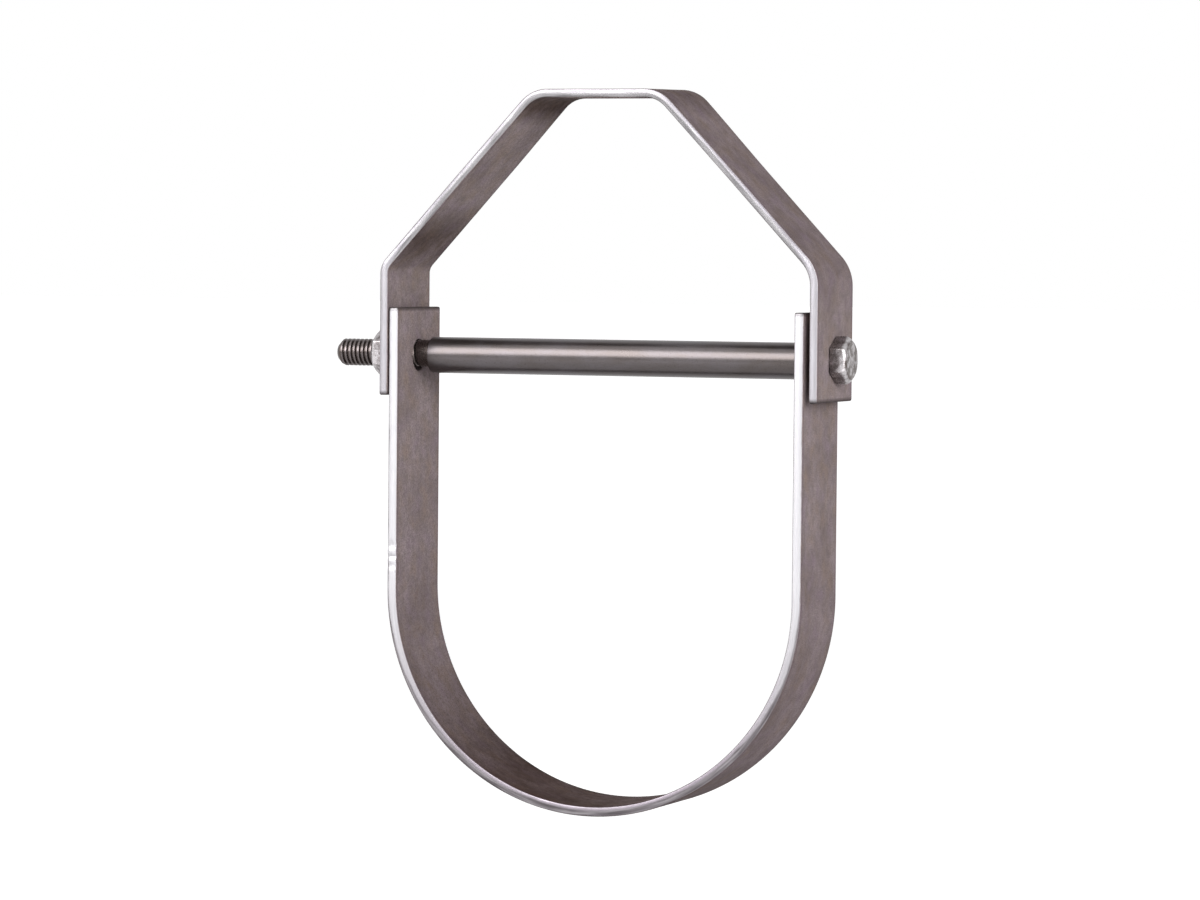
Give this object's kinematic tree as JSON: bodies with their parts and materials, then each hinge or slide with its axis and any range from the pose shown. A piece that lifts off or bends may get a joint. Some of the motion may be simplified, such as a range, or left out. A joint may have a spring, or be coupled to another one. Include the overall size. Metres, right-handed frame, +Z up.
{
  "type": "clevis pipe hanger",
  "caption": "Adjustable clevis hanger: bent steel yoke, swinging U-strap, cross bolt with nut and a loose spacer sleeve, for hanging a pipe from a threaded rod.",
  "frame": {"origin": "centre of the rod hole in the yoke's top, at mid thickness of the strip", "axes": "+Z up along the hanger rod, X along the cross bolt with the bolt's head on +X, Y along the pipe"},
  "size_m": [0.1902, 0.0382, 0.2506],
  "materials": {
    "yoke_steel": "plain rolled steel strip, mauve grey with faint lengthwise streaks and brighter sheared edges",
    "strap_steel": "plain rolled steel strip, mauve grey with faint lengthwise streaks, nicks and brighter sheared edges",
    "bolt_steel": "zinc plated, dulled",
    "nut_steel": "zinc plated, dulled",
    "sleeve_steel": "smooth bright drawn tube"
  },
  "bodies": {
    "hanger_frame": {"upper_yoke": "yoke_steel", "cross_bolt": "bolt_steel", "bolt_nut": "nut_steel"},
    "strap": {"lower_strap": "strap_steel"},
    "sleeve": {"spacer_sleeve": "sleeve_steel"}
  },
  "joints": [
    {"name": "strap_swing", "type": "hinge", "parent": "hanger_frame", "child": "strap", "pos_m": [0, 0, -0.09085], "axis": [1, 0, 0], "range_deg": [-115, 115]},
    {"name": "sleeve_spin", "type": "hinge", "parent": "hanger_frame", "child": "sleeve", "pos_m": [0, 0, -0.09139], "axis": [1, 0, 0], "continuous": true}
  ]
}
